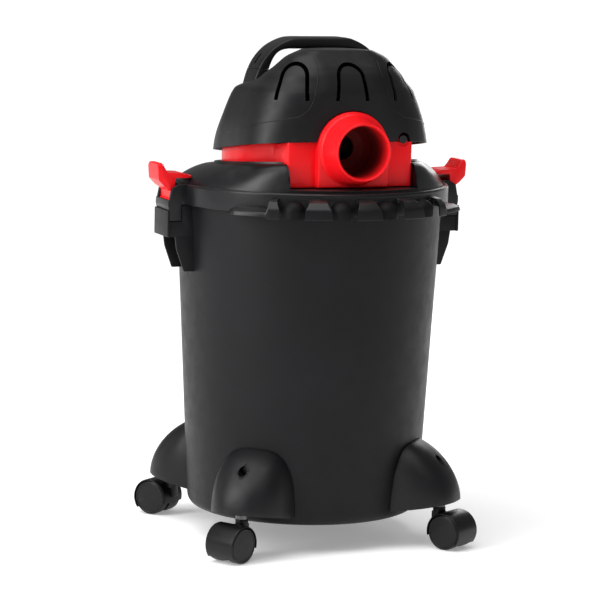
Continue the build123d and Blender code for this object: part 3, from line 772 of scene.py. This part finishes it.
def arch_outline(radius, foot_z, steps):
    """An arch round the port's axis that stands on a straight foot."""
    arc = [(radius * math.cos(a), PORT_Z + radius * math.sin(a)) for a in np.linspace(0, math.pi, steps)]
    return [(radius, foot_z)] + arc + [(-radius, foot_z)]


def port_hole():
    return rod("port_hole", (0, -150, PORT_Z), (0, -110, PORT_Z), PORT_HOLE_R, 64)


def screw_rod(name, front_y, back_y, radius, count):
    """A bar on the cover screw's axis."""
    return rod(name, (SCREW_X, front_y, SCREW_Z), (SCREW_X, back_y, SCREW_Z), radius, count)


def make_collar():
    """Red ring under the cover with the port's box, its raised pad and the flared tube."""
    wall = collar_wall()
    floor = prism("box_floor", [(-82, -95), (-82, -131), (82, -131), (82, -95)], BOX_LOW_Z + 0.2, 464, "xy")
    boolean(wall, port_hole())
    boolean(wall, screw_rod("screw_well", -160, -131.5, SCREW_WELL_R, 48))
    bevel(wall, 0.7, 3, angle=50)
    pad = prism("pad", arch_outline(PAD_R, BOX_LOW_Z, 65), PAD_Y, -128)
    boolean(pad, port_hole())
    bevel(pad, 1.6, 4, angle=50)
    boss = screw_rod("screw_boss", -131, -119, 5, 32)
    collar = join("port_collar_shell", [wall, floor, pad, port_tube(), boss])
    finish_piece(collar, "port_collar", "head", RED)


def port_ring(profile, count):
    """Rows of points that turn a profile of (radius, y) about the port's axis."""
    return [[(radius * math.cos(a), y, PORT_Z + radius * math.sin(a)) for a in circle(count)]
            for radius, y in profile]


def port_tube():
    """Flared tube of the port: fillet at the pad, cone, rolled lip, bore with an inner step."""
    profile = rounded_path([(36.5, -129, 0), (36.5, PAD_Y + 0.5, 0), (45.6, PAD_Y + 0.5, 0),
                            (45.0, PAD_Y - 0.8, 1.2), (43.2, PAD_Y - 2.4, 4), (36.6, -171.0, 5),
                            (35.8, -175.4, 1.2), (34.6, -176.0, 0.7), (33.4, -175.2, 1.0),
                            (32.6, -173.0, 1.0), (32.9, -172.0, 0), (32.9, -104.0, 0), (35.4, -104, 0),
                            (35.4, -129, 0)], steps=6)
    return grid_piece("port_tube", port_ring(profile, 120), close_rows=True)


def make_port_liner():
    """The duct's matt inside: a bore that narrows in a rounded funnel at its inner end, in red painted
    darker deeper in as painted shade.
    """
    profile = rounded_path([(32.2, -173.2, 0.4), (32.0, -118.0, 8), (27.0, -109.0, 6), (15.0, -105.4, 1),
                            (15.0, -104.2, 0.4), (32.8, -104.2, 0), (32.8, -173.2, 0)],
                           steps=6, closed=True)
    liner = grid_piece("port_liner", port_ring(profile, 96), close_rows=True)
    finish_piece(liner, None, "head", DUCT_RED_PAINTED_SHADE)


# ------------------------------------------------------------------ motor cover
# level: height, half width, front Y, back Y, front corner radius, Y where the round back starts
COVER_LEVELS = np.array([
    (480, 128, -140, 118, 70, -5), (511, 125, -139, 110, 70, -5), (540, 120, -138, 84, 73, -12),
    (571, 110, -136, 58, 76, -15), (580, 105, -134.5, 45, 75, -32), (588, 96, -132, 5, 68, -62),
    (597, 88, -128, -11, 59, -68), (604, 80, -123, -22, 49, -72), (610, 74, -118, -27, 42, -75),
    (619, 64, -108, -37, 29, -78), (627, 46, -99, -40, 16, -82)], dtype=float)
# the runs of the cover's outline, seen from above, and how many points each one has
COVER_RUNS = {"back": 72, "left": 12, "left_corner": 26, "front": 44, "right_corner": 26, "right": 12}
COVER_COLUMNS = [(run, step / count) for run, count in COVER_RUNS.items() for step in range(count)]


def cover_point(column, level):
    """A point of the cover's outline at one level."""
    run, t = column
    z, half, front, back, corner, centre_y = level
    centre_y = max(centre_y, front + corner + 0.5)
    if run == "back":
        a = math.pi * t
        return (half * math.cos(a), centre_y + (back - centre_y) * math.sin(a), z)
    if run == "left":
        return (-half, centre_y + (front + corner - centre_y) * t, z)
    if run == "left_corner":
        a = math.pi * (1 + t / 2)
        return (-half + corner + corner * math.cos(a), front + corner + corner * math.sin(a), z)
    if run == "front":
        return ((2 * t - 1) * (half - corner), front, z)
    if run == "right_corner":
        a = math.pi * (1.5 + t / 2)
        return (half - corner + corner * math.cos(a), front + corner + corner * math.sin(a), z)
    return (half, front + corner + (centre_y - front - corner) * t, z)


def cover_rows(count=58):
    """Outline rows from the slanted hem to the top."""
    levels = smooth_steps(COVER_LEVELS, 200)
    dense = np.array([[cover_point(column, level) for column in COVER_COLUMNS] for level in levels])
    share = np.linspace(0, 1, len(levels))
    rows = np.zeros((count, len(COVER_COLUMNS), 3))
    for j in range(len(COVER_COLUMNS)):
        line = dense[:, j]
        over = line[:, 2] - hem_z(line[:, 1])
        start = np.interp(0.0, over, share)
        # bunched towards the top, where the surface turns fastest
        steps = start + (1 - start) * np.linspace(0, 1, count) ** 0.9
        for axis in range(3):
            rows[:, j, axis] = np.interp(steps, share, line[:, axis])
    return rows


# the seam's path over the cover: distance across the view square to its bend, height
CREASE = [(-110, 519), (-89, 528), (-61.7, 538), (-30.4, 544.5), (-15, 547.5), (-4, 555), (2.4, 566),
          (6.5, 584), (7.4, 601), (4.6, 613), (1.5, 618)]


def crease_bead(rows):
    """A thin raised seam that runs forward along the side, then climbs between two vents."""
    first = COVER_RUNS["back"]
    last = len(COVER_COLUMNS) - COVER_RUNS["right"] - COVER_RUNS["right_corner"]
    points, normals = [], []
    for across, z in smooth_steps(CREASE, 90):
        line = np.array([[np.interp(z, rows[:, j, 2], rows[:, j, axis]) for axis in (0, 1)]
                         for j in range(first, last)])
        measure = 0.927 * line[:, 0] - 0.375 * line[:, 1]
        x, y = (np.interp(across, measure, line[:, axis]) for axis in (0, 1))
        points.append(np.array([x, y, z]))
        out = np.array([x, y + 62.0, 30.0])
        normals.append(out / np.linalg.norm(out))
    rings = []
    for k, point in enumerate(points):
        along = points[min(k + 1, len(points) - 1)] - points[max(k - 1, 0)]
        along /= np.linalg.norm(along)
        side = np.cross(along, normals[k])
        side /= np.linalg.norm(side)
        up = np.cross(side, along)
        fade = min(1.0, 0.2 + k / 8, 0.2 + (len(points) - 1 - k) / 8)
        rings.append([point + (0.62 * math.cos(a) * side + 0.5 * math.sin(a) * up) * fade
                      for a in circle(10)])
    return grid_piece("crease", rings, caps=(0, -1))


def make_cover():
    """Domed cover with the port's arch, vents, screw well, switch hole, seams and handle stubs."""
    rows = cover_rows()
    top = rows[-1]
    centre = top.mean(axis=0)
    crown = [centre + (top - centre) * s + np.array([0, 0, 2.0 * (1 - s * s)])
             for s in (0.8, 0.55, 0.3, 0.05)]
    cover = grid_piece("cover_dome", list(rows) + crown, caps=(-1,))
    thicken(cover, COVER_WALL)
    boolean(cover, prism("arch", arch_outline(PAD_R + 1.3, 430, 49), -200, -95))
    for angle in VENT_ANGLES:
        boolean(cover, vent_cutter(angle))
    boolean(cover, screw_rod("screw_well", -160, -118.6, SCREW_WELL_R, 48))
    low, high = node_box("switch_bezel")
    switch_low = (low[0] + 1, low[1] + 1, 505)
    switch_high = (high[0] - 1, high[1] + 20, high[2] - 1)
    boolean(cover, box("switch_hole", switch_low, switch_high))
    stubs = handle_bar("handle_stubs")
    boolean(stubs, box("high_part", (-130, -60, HANDLE_SPLIT_Z - 0.25), (130, 60, 700)))
    bevel(stubs, 0.5, 2, angle=60)
    cover = join("cover_shell", [cover, stubs, crease_bead(rows), mirrored_x(crease_bead(rows))])
    finish_piece(cover, "motor_cover", "head", COVER_BLACK)


def vent_loop(half):
    """One edge of a vent: an arch on two slightly splayed legs."""
    arc = [(half * math.cos(a), VENT_ARCH_Z + half * math.sin(a)) for a in np.linspace(0, math.pi, 25)]
    foot = half + VENT_SPLAY
    return [(foot, VENT_FOOT_Z)] + arc + [(-foot, VENT_FOOT_Z)]


def vent_cutter(angle):
    """Inverted-U slit, pushed outwards from the head's axis."""
    outline = vent_loop(VENT_HALF_WIDTH) + vent_loop(VENT_HALF_WIDTH - VENT_SLIT)[::-1]
    cutter = prism("vent", outline, -170, HEAD_Y - 55)
    return turn_z(cutter, angle, (0, HEAD_Y))


# ------------------------------------------------------------------ handle
# outer and inner points of one half of the loop, from a leg's foot to the middle of the grip
HANDLE_PAIRS = [((97, 556), (76, 556)), ((91.5, 582), (73, 580)), ((85.5, 600), (69, 600)),
                ((76.5, 615), (63, 614.5)), ((64, 627.5), (55.5, 622)), ((50, 635.5), (45, 624.8)),
                ((36, 639.6), (33, 625)), ((12, 640), (11, 625)), ((0, 640), (0, 625))]


def handle_bar(name):
    """The whole loop as one rounded bar."""
    pairs = np.array([[*outer, *inner] for outer, inner in HANDLE_PAIRS])
    flipped = pairs[-2::-1].copy()
    flipped[:, 0] *= -1
    flipped[:, 2] *= -1
    line = smooth_steps(np.vstack([pairs, flipped]), 120)
    section = handle_section()
    rows = [[(ix + (ox - ix) * out, HANDLE_Y + across, iz + (oz - iz) * out) for across, out in section]
            for ox, oz, ix, iz in line]
    return grid_piece(name, rows, caps=(0, -1))


def handle_section():
    """Section of the bar, a squarish ring of points: width across and share of its thickness."""
    out = []
    for a in circle(48):
        c, s = math.cos(a), math.sin(a)
        u = math.copysign(abs(c) ** 0.34, c)
        v = math.copysign(abs(s) ** 0.42, s)
        out.append((HANDLE_HALF * u, 0.5 + 0.5 * v))
    return out


def make_handle():
    """The loop above its split from the cover, with a narrow slot in its left leg."""
    loop = handle_bar("handle_loop")
    boolean(loop, box("low_part", (-130, -60, 500), (130, 60, HANDLE_SPLIT_Z + 0.25)))
    bevel(loop, 0.5, 2, angle=60)
    # the box on the right only grazes the bar's skin, so no slot shows there
    for leg_x in (86, -86):
        boolean(loop, box("slot", (leg_x - 4, -12, 606), (leg_x + 14, -8, 618)))
    shade(loop)
    finish_piece(loop, "handle", "head", COVER_BLACK)


# ------------------------------------------------------------------ latches
def latch_body():
    """Hooked lever with a grip at its top, whose sides round off towards the ends."""
    profile = rounded_path([(165.5, 466.2, 2.5), (165.5, 463.4, 1.2), (188.2, 463.4, 2.0), (189.4, 446, 3),
                            (189.4, 404.2, 0.6), (194, 404.2, 1.5), (194, 447, 3), (202.5, 453, 3),
                            (210.2, 461, 3), (211.4, 482, 1.6), (204.6, 482, 1.6), (198.5, 470, 4),
                            (176, 469, 3)], steps=4, closed=True)
    rows = []
    for y in (-19.5, -19.2, -18.4, -17.0, -15.0, -12.5, 12.5, 15.0, 17.0, 18.4, 19.2, 19.5):
        over = max(0.0, abs(y) - (LATCH_HALF - LATCH_EDGE_R))
        drop = LATCH_EDGE_R - math.sqrt(max(0.0, LATCH_EDGE_R ** 2 - over * over))
        row = []
        for x, z in profile:
            if z > 472:
                z = z - drop * (z - 472) / 10
            if x < 176:
                x = x + drop * 0.8 * (176 - x) / 10.5
            row.append((x, y, z))
        rows.append(row)
    return bevel(grid_piece("latch_body", rows, caps=(0, -1)), 0.9, 3, angle=40)


def make_latch(name):
    """Latch with its pivot barrel and five thumb ribs; the left one is a mirror image."""
    pivot = rod("pivot", (PIN_X, -LATCH_HALF, PIN_Z), (PIN_X, LATCH_HALF, PIN_Z), PIN_R, 40)
    parts = [latch_body(), bevel(pivot, 0.6, 2)]
    rib_half = LATCH_HALF - 4
    for share in (0.12, 0.3, 0.48, 0.66, 0.84):
        x, z = 198.8 + share * 5.6, 470.5 + share * 10.6
        parts.append(rod("rib", (x, -rib_half, z), (x, rib_half, z), 0.85, 12))
    if name == "left":
        parts = [mirrored_x(part) for part in parts]
    latch = join("latch_tab_" + name, parts)
    finish_piece(latch, "latch_" + name, "latch_" + name[0], RED)


# ------------------------------------------------------------------ feet and casters
def egg_share(share, power):
    """How wide a half egg still is at a share of its height, from 1 down to 0."""
    return (1 - share ** power) ** (1 / power)


def foot_rows(inset):
    """Rows of a squarish half egg whose ridge lies inside the drum's wall."""
    top = FOOT_TOP_Z - inset
    rows = []
    for a in np.linspace(0, math.pi / 2, 20):
        share = math.sin(a)
        wide = max((FOOT_HALF - inset) * egg_share(share, 2.9), 0.02)
        deep = max((FOOT_REACH - inset) * egg_share(share, 1.75), 0.02)
        row = []
        for b in circle(112):
            c, d = math.cos(b), math.sin(b)
            size = (abs(c) ** 2.5 + abs(d) ** 2.5) ** (-1 / 2.5)
            x = FOOT_R + (deep if c > 0 else min(deep, 30.0)) * size * c
            # the lower edge slopes down towards the drum
            low = FOOT_LOW_Z - 0.17 * (205.0 - x)
            row.append((x, wide * size * d, low + (top - low) * share))
        rows.append(row)
    return rows


def foot_bar(name, start_x, radius):
    """A bar on the foot screw's axis, out past the foot's face."""
    return rod(name, (start_x, 0, FOOT_SCREW_Z), (230, 0, FOOT_SCREW_Z), radius, 40)


def make_foot(name):
    """Hollow foot with a screw well, a socket for the caster's stem and a rib."""
    foot = grid_piece("foot", foot_rows(0.0)[::-1] + foot_rows(FOOT_WALL), caps=(0, -1))
    boolean(foot, drum_cutter())
    boolean(foot, foot_bar("well", 176, 6.0))
    bevel(foot, 0.6, 3, angle=50)
    well = foot_bar("well_wall", 170, 8.5)
    boolean(well, grid_piece("foot_solid", foot_rows(0.0), caps=(0, -1)), "INTERSECT")
    boolean(well, foot_bar("well_bore", 176, 6.05))
    socket = rod("socket", (STEM_R, 0, FOOT_LOW_Z - 2.2), (STEM_R, 0, 94), 9, 40)
    boolean(socket, rod("stem_bore", (STEM_R, 0, 40), (STEM_R, 0, 84), 4.05, 32))
    rib = box("rib", (158, -1.5, 66), (192, 1.5, 96))
    foot = join("foot_shell_" + name, [foot, well, socket, rib])
    turn_z(foot, FEET[name])
    finish_piece(foot, "foot_" + name, "tank", FOOT_BLACK)


def drum_cutter():
    """The drum's outside with a small gap, as a solid that trims the feet."""
    low, high, gap = 20, 160, 1.2
    profile = [(0, low), (drum_radius(low) + gap, low), (drum_radius(high) + gap, high), (0, high)]
    return lathe("drum_solid", profile, 192, closed=False)


def place_caster(obj, name):
    """Moves a caster's part from the stem's axis at the origin to its foot, trailing its own way."""
    angle = math.radians(FEET[name])
    spot = Matrix.Translation((STEM_R * MM * math.cos(angle), STEM_R * MM * math.sin(angle), 0))
    return transform(obj, spot @ Matrix.Rotation(math.radians(TRAILS[name]), 4, "Z"))


def axle_rod(name, half, radius, count):
    """A bar on the caster's axle, which runs along Y."""
    return rod(name, (AXLE_X, -half, AXLE_Z), (AXLE_X, half, AXLE_Z), radius, count)


def make_hood(name):
    """Caster hood: a band over the wheels, the web between them and the neck of the stem."""
    section = rounded_path([(23.15, -20.4, 0.4), (23.15, 20.4, 0.4), (23.15, 21.5, 0.3), (24.0, 21.5, 0.8),
                            (24.7, 20.2, 1.0), (24.7, -20.2, 1.0), (24.0, -21.5, 0.8), (23.15, -21.5, 0.3)],
                           steps=3, closed=True)
    rows = []
    for degrees in np.linspace(-38.0, 194.7, 60):
        a = math.radians(degrees)
        rows.append([(AXLE_X + r * math.cos(a), y, AXLE_Z + r * math.sin(a)) for r, y in section])
    shell = grid_piece("hood", rows, caps=(0, -1))
    web_half = 5.9
    web = axle_rod("web", web_half, 23.6, 64)
    boolean(web, box("web_foot", (-20, -20, -10), (60, 20, 5)))
    boolean(web, axle_rod("axle_hole", 10, 3.1, 32))
    nose = bevel(box("nose", (-8, -web_half, 24), (14, web_half, 45)), 1.0)
    neck = bevel(rod("neck", (0, 0, 36), (0, 0, 50.4), 8, 48), 0.8)
    boolean(neck, axle_rod("wheel_room", 30, 23.2, 64))
    hood = join("hood_shell_" + name, [shell, web, nose, neck])
    place_caster(hood, name)
    finish_piece(hood, "caster_hood_" + name, "caster_" + name, WHEEL_BLACK)


def make_wheel(name, which, side):
    """Caster wheel: rounded tread and a plain, slightly domed face inside a fine rim."""
    profile = rounded_path([(3.05, -7.25, 0), (20.8, -7.25, 0.5), (22.0, -6.6, 1.0), (22.5, -4.5, 2),
                            (22.5, 4.6, 3), (22.0, 6.6, 1.5), (20.6, 7.3, 0.6), (19.4, 7.3, 0.4),
                            (19.0, 6.7, 0.3), (18.4, 6.9, 0.5), (9.0, 7.6, 4), (0.0, 7.8, 0),
                            (0.0, 4.4, 0), (3.05, 4.4, 0)], steps=4, closed=True)
    wheel = lathe("wheel_disc_%s_%s" % (which, name), profile, 96)
    if side < 0:
        transform(wheel, Matrix.Scale(-1, 4, (0, 0, 1)))
    transform(wheel, Matrix.Translation((0, 0, side * WHEEL_Y * MM)))
    transform(wheel, Matrix.Rotation(math.radians(-90), 4, "X"))
    transform(wheel, Matrix.Translation((AXLE_X * MM, 0, AXLE_Z * MM)))
    place_caster(wheel, name)
    node = "wheel_%s_%s" % (which, name)
    finish_piece(wheel, node, "wheels_" + name, WHEEL_BLACK)


# ------------------------------------------------------------------ carried-over CAD nodes
SLOT_MATERIALS = {"black_shell": LID_BLACK, "drum_plastic": DRUM_BLACK, "red_plastic": RED,
                  "wheel_plastic": WHEEL_BLACK, "steel": STEEL, "chrome": CHROME, "seal_rubber": RUBBER,
                  "motor_iron": IRON, "fan_aluminium": ALUMINIUM, "inner_plastic": INNER_BLACK,
                  "float_plastic": FLOAT_WHITE, "filter_paper": PAPER, "carbon": CARBON}
DARK_STEEL_NODES = ("cover_screw", "foot_screws", "latch_pins")
EDGE_WIDTHS = {"hose_inlet": 0.9, "switch_bezel": 0.6, "switch_rocker": 0.6, "cord_gland": 0.6,
               "cover_screw": 0.4, "foot_screws": 0.4}


def dress_cad_nodes():
    """Materials and softened edges for the CAD nodes that stay visible."""
    slots = {part["node"]: part["material_slot"] for part in frame["record"]["subparts"]}
    for name, obj in frame["nodes"].items():
        if obj.hide_render:
            continue
        material = DARK_STEEL if name in DARK_STEEL_NODES else SLOT_MATERIALS[slots[name]]
        obj.data.materials.clear()
        obj.data.materials.append(material)
        if name in EDGE_WIDTHS:
            mod = obj.modifiers.new("edges", "BEVEL")
            mod.width = EDGE_WIDTHS[name] * MM
            mod.segments = 2
            mod.limit_method = "ANGLE"
            mod.angle_limit = math.radians(50)
        shade(obj, 35.0)


# ------------------------------------------------------------------ studio
FLOOR_HALF = 70000
WHITE = (1.0, 1.0, 1.0, 1.0)


def make_floor():
    """Plain pale paper floor, wide enough to fill the view."""
    floor = box("studio_floor", (-FLOOR_HALF, -FLOOR_HALF, -20), (FLOOR_HALF, FLOOR_HALF, -0.3))
    n = Nodes("floor_paper")
    fibre = n.noise(300.0, 4.0, 0.6)
    cloud = n.noise(1.5, 3.0)
    pale = n.mix(n.span(cloud, 0.3, 0.7, 0, 1), (0.86, 0.86, 0.86), (0.90, 0.90, 0.90))
    n.feed("Base Color", pale)
    n.feed("Roughness", 0.95)
    n.feed("Specular IOR Level", 0.1)
    n.feed("Emission Color", WHITE)
    n.feed("Emission Strength", 0.27)
    n.feed("Normal", n.bump(fibre, 0.1, 0.0005))
    floor.data.materials.append(n.material)


def area_light(name, place, target_z, wide, tall, power):
    """A soft box at a place in metres, turned towards a height on the drum's axis."""
    data = bpy.data.lights.new(name, "AREA")
    data.shape = "RECTANGLE"
    data.size = wide
    data.size_y = tall
    data.energy = power
    light = bpy.data.objects.new(name, data)
    light.location = place
    aim = Vector((0, 0, target_z)) - Vector(place)
    light.rotation_euler = aim.to_track_quat("-Z", "Y").to_euler()
    bpy.context.scene.collection.objects.link(light)


def make_world():
    """Even white light from all round."""
    world = bpy.data.worlds.new("studio_world")
    bpy.context.scene.world = world
    world.use_nodes = True
    background = world.node_tree.nodes["Background"]
    background.inputs["Color"].default_value = WHITE
    background.inputs["Strength"].default_value = 0.21


def make_lights():
    """A wide soft ceiling light, and soft boxes that draw the long highlights."""
    sun = bpy.data.lights.new("ceiling", "SUN")
    sun.energy = 2.3
    sun.angle = math.radians(60)
    ceiling = bpy.data.objects.new("ceiling", sun)
    ceiling.rotation_euler = (math.radians(6), math.radians(-14), 0)
    bpy.context.scene.collection.objects.link(ceiling)
    area_light("rear_left", (-1.7, 1.3, 0.6), 0.35, wide=0.9, tall=1.3, power=3.0)
    area_light("rear_right", (1.4, 1.7, 0.9), 0.4, wide=0.8, tall=1.2, power=9.0)
    area_light("left_box", (-2.5, -0.6, 1.5), 0.35, wide=1.0, tall=2.0, power=60.0)
    area_light("front_fill", (0.4, -2.4, 2.4), 0.4, wide=1.2, tall=1.2, power=5.0)


def make_camera():
    """A long lens, a little left of the port and a little above it, with a slight roll."""
    turn, rise, distance = math.radians(-22.0), math.radians(8.0), 3.514
    aim = Vector((0.0, 0.0, 0.300))
    away = Vector((math.sin(turn) * math.cos(rise), -math.cos(turn) * math.cos(rise), math.sin(rise)))
    data = bpy.data.cameras.new("camera")
    data.lens = 163.7
    data.sensor_width = 36.0
    data.shift_x = -0.0113
    data.shift_y = 0.0017
    data.dof.use_dof = False
    camera = bpy.data.objects.new("camera", data)
    camera.location = aim + distance * away
    look = (-away).to_track_quat("-Z", "Y").to_matrix()
    roll = Matrix.Rotation(math.radians(1.34), 3, "Z")
    camera.rotation_euler = (look @ roll).to_euler()
    bpy.context.scene.collection.objects.link(camera)
    bpy.context.scene.camera = camera


make_drum()
make_lid()
make_tool_holder()
make_socket_shade_posts()
make_collar()
make_port_liner()
make_cover()
make_handle()
for latch_side in ("right", "left"):
    make_latch(latch_side)
for corner in FEET:
    make_foot(corner)
    make_hood(corner)
    make_wheel(corner, "outer", 1)
    make_wheel(corner, "inner", -1)
dress_cad_nodes()
make_floor()
make_world()
make_lights()
make_camera()
bpy.context.scene.view_settings.view_transform = "Standard"
